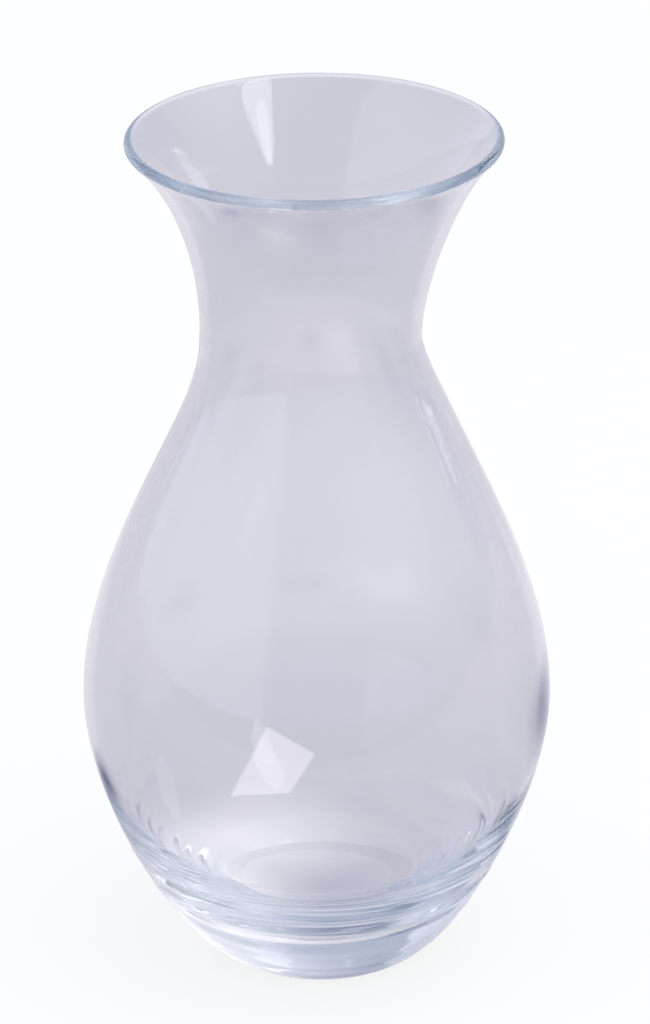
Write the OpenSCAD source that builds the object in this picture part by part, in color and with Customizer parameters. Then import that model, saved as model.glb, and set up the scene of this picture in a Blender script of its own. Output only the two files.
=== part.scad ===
// Clear glass flower vase, a single piece of blown glass with no other parts.
// It stands on a flat ground foot under a thick solid base. The body is pear-shaped, the neck is
// narrow, and the mouth flares out like a trumpet to a lip that was melted round.
// The origin is the middle of the foot, on the table, and +Z runs up the axis of the vase.

/* [Heights] */
// Height of the whole vase, from the table to the top of the lip
vase_h = 250; // [225:1:300]
// Height of the widest ring of the body above the table
belly_z = 80; // [60:1:100]
// Height of the narrowest ring of the neck above the table
neck_z = 191.5; // [160:0.5:210]

/* [Outer diameters] */
// Diameter of the flat foot
foot_d = 60; // [40:1:90]
// Diameter of the body at its widest ring
belly_d = 135; // [110:1:170]
// Diameter of the neck at its narrowest ring
neck_d = 62; // [44:1:80]
// Diameter of the mouth over the outside of the lip
mouth_d = 104; // [88:1:135]

/* [Glass] */
// Thickness of the wall from the belly up to the lip
wall = 3; // [2:0.1:5]
// Thickness of the solid glass under the floor
base_t = 22; // [12:0.5:32]
// Diameter of the flat middle of the floor inside
floor_d = 60; // [30:1:66]

/* [Curves] */
// Slope of the outside where it leaves the foot, in degrees above the table
heel_slope = 20; // [8:1:40]
// Slope of the flare where it meets the lip, in degrees above the table
lip_slope = 42; // [25:1:70]
// How far the heel keeps its slope, as a share of the height up to the belly
heel_share = 0.17; // [0.05:0.01:0.35]
// How upright the side stays just below the belly, as a share of the height up to the belly
underbelly_share = 0.37; // [0.2:0.01:0.6]
// How upright the side stays just above the belly, as a share of the height from belly to neck
shoulder_share = 0.38; // [0.2:0.01:0.6]
// How upright the side stays just below the neck, as a share of the height from belly to neck
nape_share = 0.19; // [0.1:0.01:0.4]
// How upright the side stays just above the neck, as a share of the height from neck to lip
throat_share = 0.36; // [0.15:0.01:0.6]
// How far the flare keeps the slope of the lip, as a share of the height from neck to lip
flare_share = 0.24; // [0.1:0.01:0.45]
// How far the floor stays level past its flat middle, as a share of the way out to the wall
floor_share = 0.35; // [0.2:0.01:0.65]
// How upright the bowl stays below the belly, as a share of the height from floor to belly
bowl_share = 0.6; // [0.2:0.01:0.8]

/* [Smoothness] */
// Number of steps along each stretch of the outline
curve_steps = 24; // [8:1:48]
// Number of steps round the lip
lip_steps = 12; // [6:1:24]
// Number of sides that stand for the round of the vase in a preview
round_sides = 180; // [60:12:360]

/* [Hidden] */

foot_r = foot_d / 2;
belly_r = belly_d / 2;
neck_r = neck_d / 2;
mouth_r = mouth_d / 2;
floor_r = floor_d / 2;
lip_r = wall / 2;

// The lip is a half circle that closes the wall, and the outside meets it at this angle round it
lip_start = lip_slope - 90;
lip_middle = [mouth_r - lip_r, vase_h - lip_r];

heel = [foot_r, 0];
belly = [belly_r, belly_z];
neck = [neck_r, neck_z];
lip = lip_middle + lip_r * direction(lip_start);
floor_edge = [floor_r, base_t];
inner_belly = [belly_r - wall, belly_z];

// Heights that the curves between the rings share out
neck_rise = neck_z - belly_z;
lip_rise = vase_h - neck_z;
bowl_rise = belly_z - base_t;
floor_run = inner_belly.x - floor_r;

// Each stretch is a start, the two points that pull it into shape, and an end
heel_curve = [
    heel,
    heel + heel_share * belly_z * direction(heel_slope),
    belly - [0, underbelly_share * belly_z],
    belly
];
shoulder_curve = [
    belly,
    belly + [0, shoulder_share * neck_rise],
    neck - [0, nape_share * neck_rise],
    neck
];
throat_curve = [
    neck,
    neck + [0, throat_share * lip_rise],
    lip - flare_share * lip_rise * direction(lip_slope),
    lip
];
bowl_curve = [
    floor_edge,
    floor_edge + [floor_share * floor_run, 0],
    inner_belly - [0, bowl_share * bowl_rise],
    inner_belly
];

function direction(angle) = [cos(angle), sin(angle)];
function unit(v) = v / norm(v);
function backwards(list) = [for (i = [len(list) - 1 : -1 : 0]) list[i]];

// A point of a stretch, at a share of the way along it
function point_at(curve, share) =
    pow(1 - share, 3) * curve[0]
    + 3 * pow(1 - share, 2) * share * curve[1]
    + 3 * (1 - share) * pow(share, 2) * curve[2]
    + pow(share, 3) * curve[3];

// The way a stretch runs there
function heading_at(curve, share) = unit(
    pow(1 - share, 2) * (curve[1] - curve[0])
    + 2 * (1 - share) * share * (curve[2] - curve[1])
    + pow(share, 2) * (curve[3] - curve[2])
);

// The point across the wall from it, square to the outside
function across_at(curve, share) =
    point_at(curve, share) + wall * [-heading_at(curve, share).y, heading_at(curve, share).x];

// The points after the start of a stretch, so that joined stretches name no point twice
function outside(curve) = [for (i = [1 : curve_steps]) point_at(curve, i / curve_steps)];
function inside(curve) = [for (i = [1 : curve_steps]) across_at(curve, i / curve_steps)];

// The lip goes over the top, from the outside of the wall to its inside
function lip_round() = [
    for (i = [1 : lip_steps - 1])
        lip_middle + lip_r * direction(lip_start + 180 * i / lip_steps)
];

// Half of the section through the glass, from the axis out, up, over the lip and down inside
function section() = concat(
    [[0, 0], heel],
    outside(heel_curve),
    outside(shoulder_curve),
    outside(throat_curve),
    lip_round(),
    backwards(inside(throat_curve)),
    backwards(inside(shoulder_curve)),
    backwards(outside(bowl_curve)),
    [floor_edge, [0, base_t]]
);

module glass_vase() {
    color([0.88, 0.88, 0.9, 0.3])
    rotate_extrude($fn = round_sides)
    polygon(section());
}

glass_vase();
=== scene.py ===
import math

import bpy
import numpy as np
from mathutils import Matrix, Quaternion, Vector


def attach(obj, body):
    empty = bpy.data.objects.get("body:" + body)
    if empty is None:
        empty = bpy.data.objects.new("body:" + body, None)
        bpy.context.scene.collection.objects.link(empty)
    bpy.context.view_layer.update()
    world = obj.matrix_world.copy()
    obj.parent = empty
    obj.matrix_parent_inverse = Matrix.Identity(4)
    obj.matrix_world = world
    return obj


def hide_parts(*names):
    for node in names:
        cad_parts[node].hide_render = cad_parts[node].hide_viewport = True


MM = 0.001

# The camera of the photograph, which is 650 by 1024 pixels
PHOTO_HEIGHT_PX = 1024
FOCAL_LENGTH_PX = 4224
SENSOR_MM = 36
CAMERA_DISTANCE = 1200 * MM
CAMERA_ELEVATION = math.radians(25.13)
CAMERA_AIM = Vector((2.4 * MM, 0, 136.2 * MM))
CAMERA_CLIP = (10 * MM, 20000 * MM)

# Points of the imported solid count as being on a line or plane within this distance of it
ON_PLANE = 0.001 * MM
ON_TABLE = 0.01 * MM

# How finely the glass is turned on its axis, and how finely its outline is cut, low down and above
ROUND_STEPS = 216
LOW_STEPS, HIGH_STEPS = 4, 2
LOW_PART = 50 * MM

# The glass was blown by hand, so its rings wander off the axis: height, then the drift to +X, in mm
DRIFT = np.array([
    (0, 1.1), (5, 1.1), (16, 0.5), (30, 0.1), (45, 0), (165, 0), (171, -0.1), (181, -0.8),
    (190, -1.6), (200, -1.3), (209, -0.8), (220, -0.4), (232, -0.2), (250, -0.6),
]) * MM
# The lip stands this much higher at +X than at the axis, fading out down the flare
LIP_RISE = 0.5 * MM
LIP_RADIUS = 52 * MM
FLARE = (215 * MM, 250 * MM)

# Tooling marks round the outside of the base, as ripples that fade out at the back: the height of
# one, its depth, where the first starts, how much they swing up and down round the vase, and where
TOOL_MARKS = ((5.6 * MM, 0.12 * MM, 0.0, 0.9, 0.6), (9 * MM, 0.1 * MM, 2.0, 1.3, -1.0))
MARKS_FADE_IN = (1 * MM, 6 * MM)
MARKS_FADE_OUT = (34 * MM, 50 * MM)
# They fade between these shares of the way from the side of the vase to its back
MARKS_FADE_BACK = (-0.1, 0.6)
# Faint upright waves inside the body, from blowing it in a mould: how many go round, and how deep
WAVES = ((11, 0.05 * MM), (17, 0.04 * MM), (26, 0.03 * MM), (37, 0.02 * MM))
WAVES_FADE_IN = (100 * MM, 130 * MM)
WAVES_FADE_OUT = (165 * MM, 190 * MM)
WAVES_SEED = 5

# The glass is clear, with faint clouds in it, and light turns bluer on a long way through it
GLASS_COLOR = (0.88, 0.88, 0.90)
CLOUD_COLOR = (0.865, 0.868, 0.89)
CLOUDS_PER_METRE = 28
CLOUD_DETAIL = 2.0
CLOUD_RANGE = (0.3, 0.7)
GLASS_IOR = 1.52
GLASS_DEPTH_COLOR = (0.62, 0.72, 0.8, 1)
GLASS_DEPTH_DENSITY = 2.5
GLASS_SHADOW = (0.9, 0.9, 0.93, 1)
# Its fire-polished skin is faintly uneven
SKIN_PER_METRE = 60
SKIN_DETAIL = 1.0
SKIN_DEPTH = 0.05 * MM
SKIN_STRENGTH = 0.3
# The foot is ground matt outside a polished middle, which ends between these distances from the
# axis, and only on its flat underside, which ends between these heights
GROUND_RING = (23 * MM, 24 * MM)
GROUND_HEIGHT = (0.3 * MM, 0.1 * MM)
GROUND_ROUGHNESS = 0.3

# The photograph's background was cut out and left white, while its glass still shows the grey-blue
# table and room. So the floor and the room are white to the camera, and have these colours in and
# through the glass.
FLOOR_RADIUS = 3.0
FLOOR_SIDES = 96
FLOOR_DROP = 0.2 * MM
# What the floor bounces back to the vase, and to the camera how much it glows and how much it is lit,
# so that it keeps a faint shadow
FLOOR_COLOR = (0.75, 0.75, 0.78, 1)
FLOOR_GLOW = 0.85
FLOOR_LIT = (0.2, 0.2, 0.2, 1)
TABLE_COLOR = (0.71, 0.70, 0.78)
ROOM_COLOR = (0.515, 0.563, 0.695)
# Pools of light of this tint, and shades between them, are painted on the table's colour in and
# through the glass, where the lamps and the glass would throw them: degrees round the vase from the
# camera's side, distance from the axis and reach in mm, and strength, which is negative for a shade
POOL_TINT = (1.0, 0.97, 0.9)
TABLE_POOLS = (
    (180, 300, 350, 0.22),
    (-10, 400, 450, 0.15),
    (-150, 35, 45, 0.4),
    (-60, 60, 60, 0.85),
    (-45, 100, 80, 0.5),
    (-120, 120, 45, -0.6),
    (10, 65, 35, -0.5),
    (105, 90, 30, -0.6),
    (130, 200, 90, -0.4),
)
# The room's pools: degrees round and up from the vase, reach in degrees, and strength
ROOM_POOLS = (
    (84, 52, 55, 0.6),
    (160, 28, 24, 0.25),
    (180, 36, 35, 0.2),
    (-132, 52, 55, -0.34),
)
# One painted patch of light on the table behind the vase has hard edges: its corners as X and Y in
# mm, clockwise seen from above
PATCH_CORNERS = ((-17, 115), (0, 92), (-8, 62), (-28, 61))
PATCH_EDGE = 1.5 * MM
PATCH_STRENGTH = 0.26
# The table ends in front of the vase, between these places along Y, and what lies past it is dimmer
TABLE_END = (-480 * MM, -420 * MM)
PAST_TABLE = 0.7
# A pale wall stands to the left, where the X of the way out to the room passes from the first of
# these shares to the second
WALL_START = (-0.42, -0.47)
WALL_LIGHT = (0.4, 0.4, 0.4)

# The softboxes: width and height, distance, degrees round the vase, up and of lean, strength, and
# the place on the mouth that each faces, with sizes in metres
MOUTH_BACK = (0, 30 * MM, 235 * MM)
MOUTH_LEFT = (-36 * MM, 15 * MM, 233 * MM)
SOFTBOXES = {
    "tall_softbox": dict(size=(0.27, 1.1), distance=1, azimuth=49, elevation=50, lean=-19,
                         strength=1.4, aim=MOUTH_BACK),
    "hot_middle": dict(size=(0.13, 0.57), distance=0.98, azimuth=43, elevation=38, lean=-10,
                       strength=0.9, aim=MOUTH_BACK),
    "side_softbox": dict(size=(0.42, 0.26), distance=1, azimuth=120, elevation=6, lean=30,
                         strength=0.8, aim=MOUTH_LEFT),
}
# The lip guides light round the ring inside the glass, which takes many bounces
BOUNCES = 128


def section_of(node):
    """The corners of the glass's section as (radius, height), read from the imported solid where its
    rings start: from the edge of the foot up, over the lip and down inside to the edge of the floor."""
    mesh = node.data
    on_seam = {}
    for v in mesh.vertices:
        if abs(v.co.y) < ON_PLANE and v.co.x > ON_PLANE:
            on_seam[v.index] = (round(v.co.x, 6), round(v.co.z, 6))
    neighbours = {}
    for e in mesh.edges:
        a, b = (on_seam.get(i) for i in e.vertices)
        if a and b and a != b:
            neighbours.setdefault(a, set()).add(b)
            neighbours.setdefault(b, set()).add(a)
    here = max(p for p in neighbours if p[1] < ON_TABLE)
    walk = [here]
    while True:
        ahead = [p for p in neighbours[here] if p not in walk]
        if not ahead:
            return np.array(walk)
        here = ahead[0]
        walk.append(here)


def smoothed(corners):
    """A cubic spline through the corners, with points between them too."""
    gaps = np.linalg.norm(np.diff(corners, axis=0), axis=1)
    n = len(corners)
    matrix = np.zeros((n, n))
    right = np.zeros((n, 2))
    matrix[0, 0] = matrix[-1, -1] = 1
    for i in range(1, n - 1):
        matrix[i, i - 1:i + 2] = gaps[i - 1], 2 * (gaps[i - 1] + gaps[i]), gaps[i]
        ahead = (corners[i + 1] - corners[i]) / gaps[i]
        behind = (corners[i] - corners[i - 1]) / gaps[i - 1]
        right[i] = 6 * (ahead - behind)
    bend = np.linalg.solve(matrix, right)
    points = []
    for i in range(n - 1):
        steps = LOW_STEPS if corners[i, 1] < LOW_PART else HIGH_STEPS
        for s in np.arange(steps) / steps:
            a, b, h = 1 - s, s, gaps[i]
            straight = a * corners[i] + b * corners[i + 1]
            bow = (a ** 3 - a) * bend[i] + (b ** 3 - b) * bend[i + 1]
            points.append(straight + bow * h * h / 6)
    points.append(corners[-1])
    return np.array(points)


def smoothstep(low, high, values):
    """0 up to the low value, 1 from the high one, and a smooth rise between them."""
    share = np.clip((values - low) / (high - low), 0, 1)
    return share * share * (3 - 2 * share)


def blown(points):
    """The points where a hand-blown piece has them, a little off the true round."""
    x, y, z = points.T
    moved = points.copy()
    moved[:, 0] += np.interp(z, DRIFT[:, 0], DRIFT[:, 1])
    moved[:, 2] += LIP_RISE * x / LIP_RADIUS * smoothstep(*FLARE, z)
    return moved


def tool_marks(height, angles):
    """How far the outside stands out of its smooth round there."""
    depth = 0
    for gap, size, start, swing, turn in TOOL_MARKS:
        depth = depth + size * np.sin(2 * np.pi * height / gap + start + swing * np.sin(angles + turn))
    upright = smoothstep(*MARKS_FADE_IN, height) * (1 - smoothstep(*MARKS_FADE_OUT, height))
    return depth * upright * (1 - smoothstep(*MARKS_FADE_BACK, np.sin(angles)))


def waves(height, angles):
    """How far the inside stands out of its smooth round there."""
    starts = np.random.default_rng(WAVES_SEED).uniform(0, 2 * np.pi, len(WAVES))
    depth = sum(size * np.sin(n * angles + start) for (n, size), start in zip(WAVES, starts))
    return depth * smoothstep(*WAVES_FADE_IN, height) * (1 - smoothstep(*WAVES_FADE_OUT, height))


def turned_mesh(name, outline, steps):
    """A closed mesh: the outline turned round the axis, with a point in the middle of each end."""
    angles = 2 * np.pi * np.arange(steps) / steps
    radius, height = outline[:, :1], outline[:, 1:]
    outside = (np.arange(len(outline)) < height.argmax())[:, None]
    radius = radius + np.where(outside, tool_marks(height, angles), waves(height, angles))
    rings = np.stack([radius * np.cos(angles), radius * np.sin(angles), height + 0 * angles], axis=-1)
    ends = [(0, 0, outline[0, 1]), (0, 0, outline[-1, 1])]
    points = blown(np.concatenate([rings.reshape(-1, 3), ends]))

    last_ring = len(outline) - 1
    ring, here = np.meshgrid(np.arange(last_ring), np.arange(steps), indexing="ij")
    beside = (here + 1) % steps
    low, high = ring * steps, (ring + 1) * steps
    quads = np.stack([low + here, low + beside, high + beside, high + here], axis=-1).reshape(-1, 4)
    here = np.arange(steps)
    beside = (here + 1) % steps
    foot_end, floor_end = len(outline) * steps, len(outline) * steps + 1
    top = last_ring * steps
    caps = [(foot_end, b, a) for a, b in zip(here, beside)]
    caps += [(floor_end, top + a, top + b) for a, b in zip(here, beside)]

    mesh = bpy.data.meshes.new(name)
    mesh.from_pydata(points.tolist(), [], quads.tolist() + caps)
    mesh.shade_smooth()
    for e in mesh.edges:
        if max(e.vertices) < steps:
            e.use_edge_sharp = True
    return bpy.data.objects.new(name, mesh)


def link(obj):
    bpy.context.scene.collection.objects.link(obj)
    return obj


def empty_tree(block):
    block.use_nodes = True
    block.node_tree.nodes.clear()
    return block.node_tree


def add(tree, kind, inputs, **settings):
    """A node with its settings, and inputs that take a value or another node's output."""
    node = tree.nodes.new(kind)
    for name, value in settings.items():
        setattr(node, name, value)
    for key, value in inputs.items():
        if isinstance(value, bpy.types.NodeSocket):
            tree.links.new(value, node.inputs[key])
        else:
            node.inputs[key].default_value = value
    return node.outputs


def ramp(tree, value, low, high):
    """The same as smoothstep, in nodes."""
    sockets = {"Value": value, "From Min": low, "From Max": high}
    return add(tree, "ShaderNodeMapRange", sockets, interpolation_type="SMOOTHSTEP")["Result"]


def blend(tree, share, first, second):
    sockets = {0: share}
    for key, color in ((6, first), (7, second)):
        sockets[key] = color if isinstance(color, bpy.types.NodeSocket) else (*color, 1)
    return add(tree, "ShaderNodeMix", sockets, data_type="RGBA")[2]


def multiply(tree, first, second):
    return add(tree, "ShaderNodeMath", {0: first, 1: second}, operation="MULTIPLY")["Value"]


def ground_roughness(tree, place):
    """Matt on the ring of the foot that stands on the table, and polished everywhere else."""
    split = add(tree, "ShaderNodeSeparateXYZ", {0: place})
    flat = add(tree, "ShaderNodeCombineXYZ", {0: split["X"], 1: split["Y"]})["Vector"]
    away = add(tree, "ShaderNodeVectorMath", {0: flat}, operation="LENGTH")["Value"]
    ring = multiply(tree, ramp(tree, split["Z"], *GROUND_HEIGHT), ramp(tree, away, *GROUND_RING))
    return multiply(tree, ring, GROUND_ROUGHNESS)


def glass_material():
    mat = bpy.data.materials.new("clear_glass")
    tree = empty_tree(mat)
    place = add(tree, "ShaderNodeTexCoord", {})["Object"]
    cloud = {"Vector": place, "Scale": CLOUDS_PER_METRE, "Detail": CLOUD_DETAIL}
    cloud = add(tree, "ShaderNodeTexNoise", cloud)["Fac"]
    skin = {"Vector": place, "Scale": SKIN_PER_METRE, "Detail": SKIN_DETAIL}
    skin = add(tree, "ShaderNodeTexNoise", skin)["Fac"]
    bump = {"Strength": SKIN_STRENGTH, "Distance": SKIN_DEPTH, "Height": skin}
    glass = add(tree, "ShaderNodeBsdfPrincipled", {
        "Base Color": blend(tree, ramp(tree, cloud, *CLOUD_RANGE), GLASS_COLOR, CLOUD_COLOR),
        "Roughness": ground_roughness(tree, place),
        "Normal": add(tree, "ShaderNodeBump", bump)["Normal"],
        "IOR": GLASS_IOR, "Transmission Weight": 1.0,
    })["BSDF"]
    clear = add(tree, "ShaderNodeBsdfTransparent", {"Color": GLASS_SHADOW})["BSDF"]
    is_shadow = add(tree, "ShaderNodeLightPath", {})["Is Shadow Ray"]
    surface = add(tree, "ShaderNodeMixShader", {0: is_shadow, 1: glass, 2: clear})["Shader"]
    depths = {"Color": GLASS_DEPTH_COLOR, "Density": GLASS_DEPTH_DENSITY}
    volume = add(tree, "ShaderNodeVolumeAbsorption", depths)["Volume"]
    add(tree, "ShaderNodeOutputMaterial", {"Surface": surface, "Volume": volume})
    return mat


def direction(azimuth, elevation):
    """The way out from the vase, in degrees round it from the camera's side and up."""
    a, e = math.radians(azimuth), math.radians(elevation)
    return Vector((math.sin(a) * math.cos(e), -math.cos(a) * math.cos(e), math.sin(e)))


def with_pools(tree, place, color, pools):
    """The colour with soft pools added, each a middle, how far it reaches and how strong it is."""
    for middle, reach, strength in pools:
        away = add(tree, "ShaderNodeVectorMath", {0: place, 1: middle}, operation="DISTANCE")["Value"]
        sockets = {0: ramp(tree, away, reach, 0), 1: strength * Vector(POOL_TINT), 2: color}
        color = add(tree, "ShaderNodeVectorMath", sockets, operation="MULTIPLY_ADD")["Vector"]
    return add(tree, "ShaderNodeVectorMath", {0: color, 1: (0, 0, 0)}, operation="MAXIMUM")["Vector"]


def with_patch(tree, place, color):
    """The colour with the hard-edged painted patch of light added inside its corners."""
    corners = [Vector((x, y, 0)) * MM for x, y in PATCH_CORNERS]
    light = PATCH_STRENGTH * Vector(POOL_TINT)
    for here, there in zip(corners, corners[1:] + corners[:1]):
        inward = (there - here).cross(Vector((0, 0, 1))).normalized()
        depth = add(tree, "ShaderNodeVectorMath", {0: place, 1: inward}, operation="DOT_PRODUCT")["Value"]
        edge = inward.dot(here)
        share = ramp(tree, depth, edge, edge + PATCH_EDGE)
        light = add(tree, "ShaderNodeVectorMath", {0: light, 1: share}, operation="MULTIPLY")["Vector"]
    return add(tree, "ShaderNodeVectorMath", {0: color, 1: light}, operation="ADD")["Vector"]


def table_color(tree):
    place = add(tree, "ShaderNodeTexCoord", {})["Object"]
    # Painted pools of light and painted shades on the table's colour
    pools = [(direction(a, 0) * r * MM, reach * MM, strength) for a, r, reach, strength in TABLE_POOLS]
    # The painted patch of light goes on top of the painted pools
    color = with_patch(tree, place, with_pools(tree, place, TABLE_COLOR, pools))
    along = add(tree, "ShaderNodeSeparateXYZ", {0: place})["Y"]
    step = {"Value": along, "From Min": TABLE_END[0], "From Max": TABLE_END[1], "To Min": PAST_TABLE}
    share = add(tree, "ShaderNodeMapRange", step, interpolation_type="SMOOTHSTEP")["Result"]
    return add(tree, "ShaderNodeVectorMath", {0: color, 1: share}, operation="MULTIPLY")["Vector"]


def floor_material():
    mat = bpy.data.materials.new("pale_floor")
    tree = empty_tree(mat)
    lit = add(tree, "ShaderNodeBsdfDiffuse", {"Color": FLOOR_LIT})["BSDF"]
    seen = add(tree, "ShaderNodeEmission", {"Color": (1, 1, 1, 1), "Strength": FLOOR_GLOW})["Emission"]
    seen = add(tree, "ShaderNodeAddShader", {0: seen, 1: lit})["Shader"]
    table = add(tree, "ShaderNodeEmission", {"Color": table_color(tree)})["Emission"]
    shader = add(tree, "ShaderNodeBsdfDiffuse", {"Color": FLOOR_COLOR})["BSDF"]
    path = add(tree, "ShaderNodeLightPath", {})
    for kind, view in (("Is Glossy Ray", table), ("Is Transmission Ray", table), ("Is Camera Ray", seen)):
        shader = add(tree, "ShaderNodeMixShader", {0: path[kind], 1: shader, 2: view})["Shader"]
    add(tree, "ShaderNodeOutputMaterial", {"Surface": shader})
    return mat


def floor():
    angles = 2 * np.pi * np.arange(FLOOR_SIDES) / FLOOR_SIDES
    edge = np.stack([FLOOR_RADIUS * np.cos(angles), FLOOR_RADIUS * np.sin(angles), 0 * angles], axis=-1)
    mesh = bpy.data.meshes.new("floor")
    mesh.from_pydata(edge.tolist(), [], [tuple(range(len(edge)))])
    mesh.materials.append(floor_material())
    obj = link(bpy.data.objects.new("floor", mesh))
    obj.location.z = -FLOOR_DROP


def softbox(name, size, distance, azimuth, elevation, lean, strength, aim):
    data = bpy.data.lights.new(name, "AREA")
    data.shape = "ELLIPSE"
    data.size, data.size_y = size
    data.energy = strength * size[0] * size[1] * math.pi
    obj = link(bpy.data.objects.new(name, data))
    back = direction(azimuth, elevation)
    obj.location = Vector(aim) + back * distance
    obj.rotation_mode = "QUATERNION"
    obj.rotation_quaternion = back.to_track_quat("Z", "Y") @ Quaternion((0, 0, 1), math.radians(lean))


def room():
    world = bpy.data.worlds.new("room")
    tree = empty_tree(world)
    place = add(tree, "ShaderNodeTexCoord", {})["Generated"]
    pools = [(direction(a, e), 2 * math.sin(math.radians(reach) / 2), strength)
             for a, e, reach, strength in ROOM_POOLS]
    color = with_pools(tree, place, ROOM_COLOR, pools)
    across = add(tree, "ShaderNodeSeparateXYZ", {0: place})["X"]
    sockets = {0: ramp(tree, across, *WALL_START), 1: WALL_LIGHT, 2: color}
    color = add(tree, "ShaderNodeVectorMath", sockets, operation="MULTIPLY_ADD")["Vector"]
    is_camera = add(tree, "ShaderNodeLightPath", {})["Is Camera Ray"]
    color = blend(tree, is_camera, color, (1, 1, 1))
    background = add(tree, "ShaderNodeBackground", {"Color": color})["Background"]
    add(tree, "ShaderNodeOutputWorld", {"Surface": background})
    bpy.context.scene.world = world


def camera():
    data = bpy.data.cameras.new("photo_camera")
    data.sensor_width = SENSOR_MM
    data.lens = FOCAL_LENGTH_PX * SENSOR_MM / PHOTO_HEIGHT_PX
    data.clip_start, data.clip_end = CAMERA_CLIP
    obj = link(bpy.data.objects.new("photo_camera", data))
    back = Vector((0, -math.cos(CAMERA_ELEVATION), math.sin(CAMERA_ELEVATION)))
    obj.location = CAMERA_AIM + back * CAMERA_DISTANCE
    obj.rotation_euler = (math.pi / 2 - CAMERA_ELEVATION, 0, 0)
    bpy.context.scene.camera = obj


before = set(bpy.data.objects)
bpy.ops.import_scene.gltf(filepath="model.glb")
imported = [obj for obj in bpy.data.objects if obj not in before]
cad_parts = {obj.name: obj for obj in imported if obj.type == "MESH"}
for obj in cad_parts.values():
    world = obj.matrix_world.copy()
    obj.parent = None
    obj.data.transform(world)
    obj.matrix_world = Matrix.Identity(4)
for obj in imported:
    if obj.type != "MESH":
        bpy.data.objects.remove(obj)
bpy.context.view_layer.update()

outline = smoothed(section_of(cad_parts["glass_vase"]))
vase = link(turned_mesh("vase", outline, ROUND_STEPS))
vase.data.materials.append(glass_material())
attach(vase, "root")
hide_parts("glass_vase")

floor()
room()
for name, settings in SOFTBOXES.items():
    softbox(name, **settings)
camera()

scene = bpy.context.scene
scene.view_settings.view_transform = "Standard"
scene.cycles.max_bounces = BOUNCES
scene.cycles.glossy_bounces = BOUNCES
scene.cycles.transmission_bounces = BOUNCES
scene.cycles.caustics_reflective = False
scene.cycles.caustics_refractive = False
